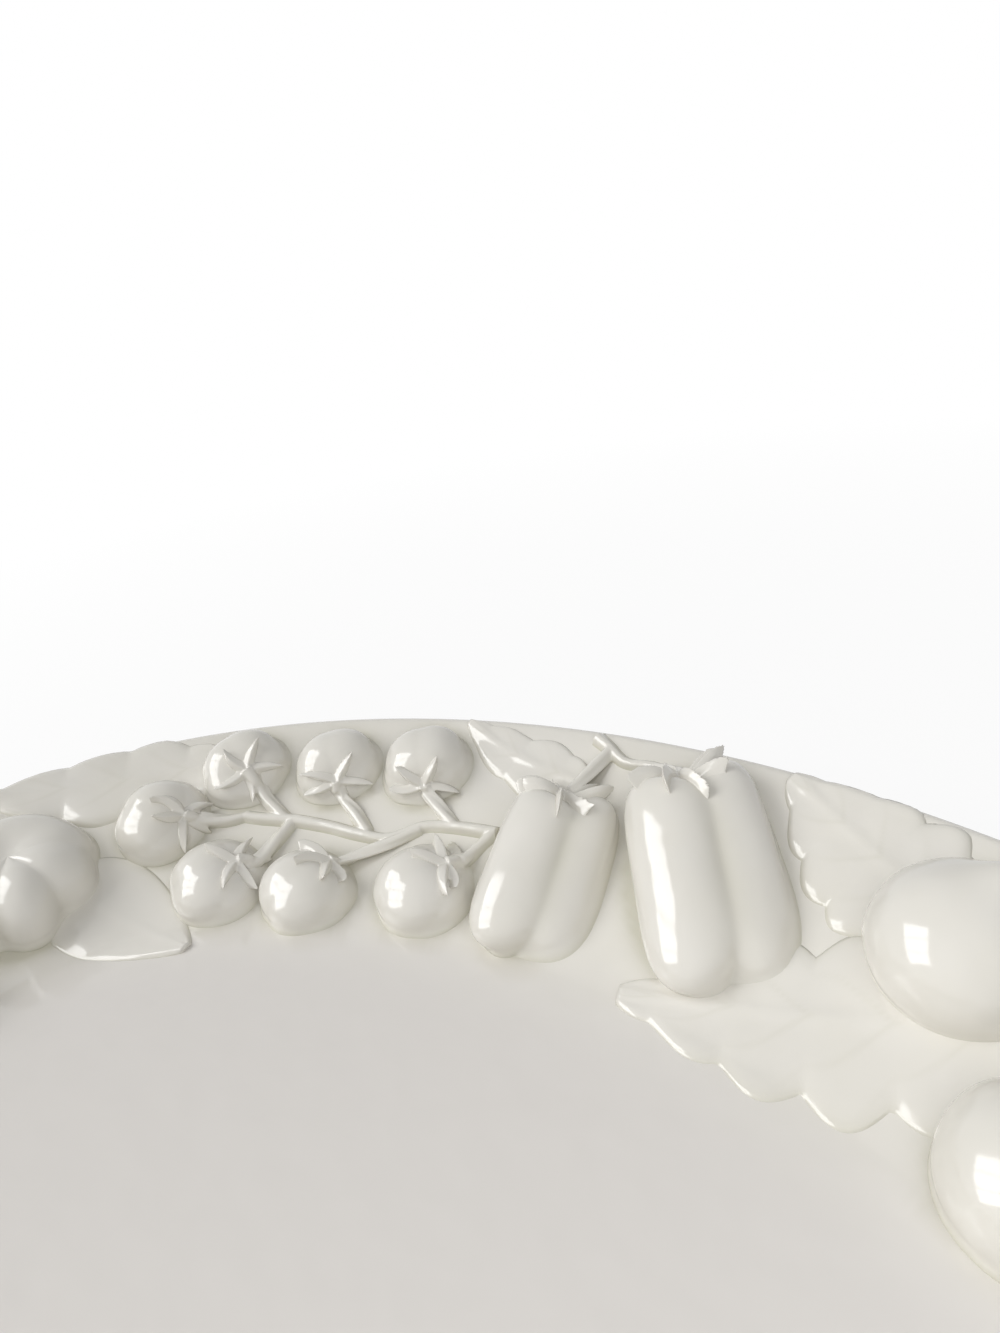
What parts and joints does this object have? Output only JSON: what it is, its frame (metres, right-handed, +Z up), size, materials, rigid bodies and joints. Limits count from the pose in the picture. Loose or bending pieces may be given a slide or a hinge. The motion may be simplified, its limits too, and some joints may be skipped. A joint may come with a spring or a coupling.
{
  "type": "oval serving platter",
  "caption": "Oval glazed serving platter: a plain well, a wide sloping rim with a garland of vegetables, stems and leaves in high relief, and a foot ring.",
  "frame": {"origin": "middle of the plane the foot ring stands on", "axes": "+X along the oval's length, +Y across it towards the pictured side of the rim, +Z up"},
  "size_m": [0.466, 0.346, 0.0459],
  "materials": {
    "glaze": "glossy cream-white glaze"
  },
  "bodies": {
    "root": {"back_leaf_1": "glaze", "back_leaf_2": "glaze", "back_leaf_3": "glaze", "back_leaf_4": "glaze", "back_leaf_5": "glaze", "back_leaf_6": "glaze", "back_leaf_7": "glaze", "back_leaf_8": "glaze", "back_onion_1": "glaze", "back_onion_2": "glaze", "back_onion_3": "glaze", "back_pepper_1": "glaze", "back_pepper_2": "glaze", "back_pepper_3": "glaze", "back_pepper_fork": "glaze", "back_pepper_spur": "glaze", "back_squash_1": "glaze", "back_squash_2": "glaze", "back_tomato_1": "glaze", "back_tomato_2": "glaze", "back_tomato_3": "glaze", "back_tomato_4": "glaze", "back_tomato_5": "glaze", "back_tomato_6": "glaze", "back_tomato_7": "glaze", "back_tomato_vine": "glaze", "front_leaf_1": "glaze", "front_leaf_2": "glaze", "front_leaf_3": "glaze", "front_leaf_4": "glaze", "front_leaf_5": "glaze", "front_leaf_6": "glaze", "front_leaf_7": "glaze", "front_leaf_8": "glaze", "front_onion_1": "glaze", "front_onion_2": "glaze", "front_onion_3": "glaze", "front_pepper_1": "glaze", "front_pepper_2": "glaze", "front_pepper_3": "glaze", "front_pepper_fork": "glaze", "front_pepper_spur": "glaze", "front_squash_1": "glaze", "front_squash_2": "glaze", "front_tomato_1": "glaze", "front_tomato_2": "glaze", "front_tomato_3": "glaze", "front_tomato_4": "glaze", "front_tomato_5": "glaze", "front_tomato_6": "glaze", "front_tomato_7": "glaze", "front_tomato_vine": "glaze", "platter_body": "glaze"}
  },
  "joints": []
}
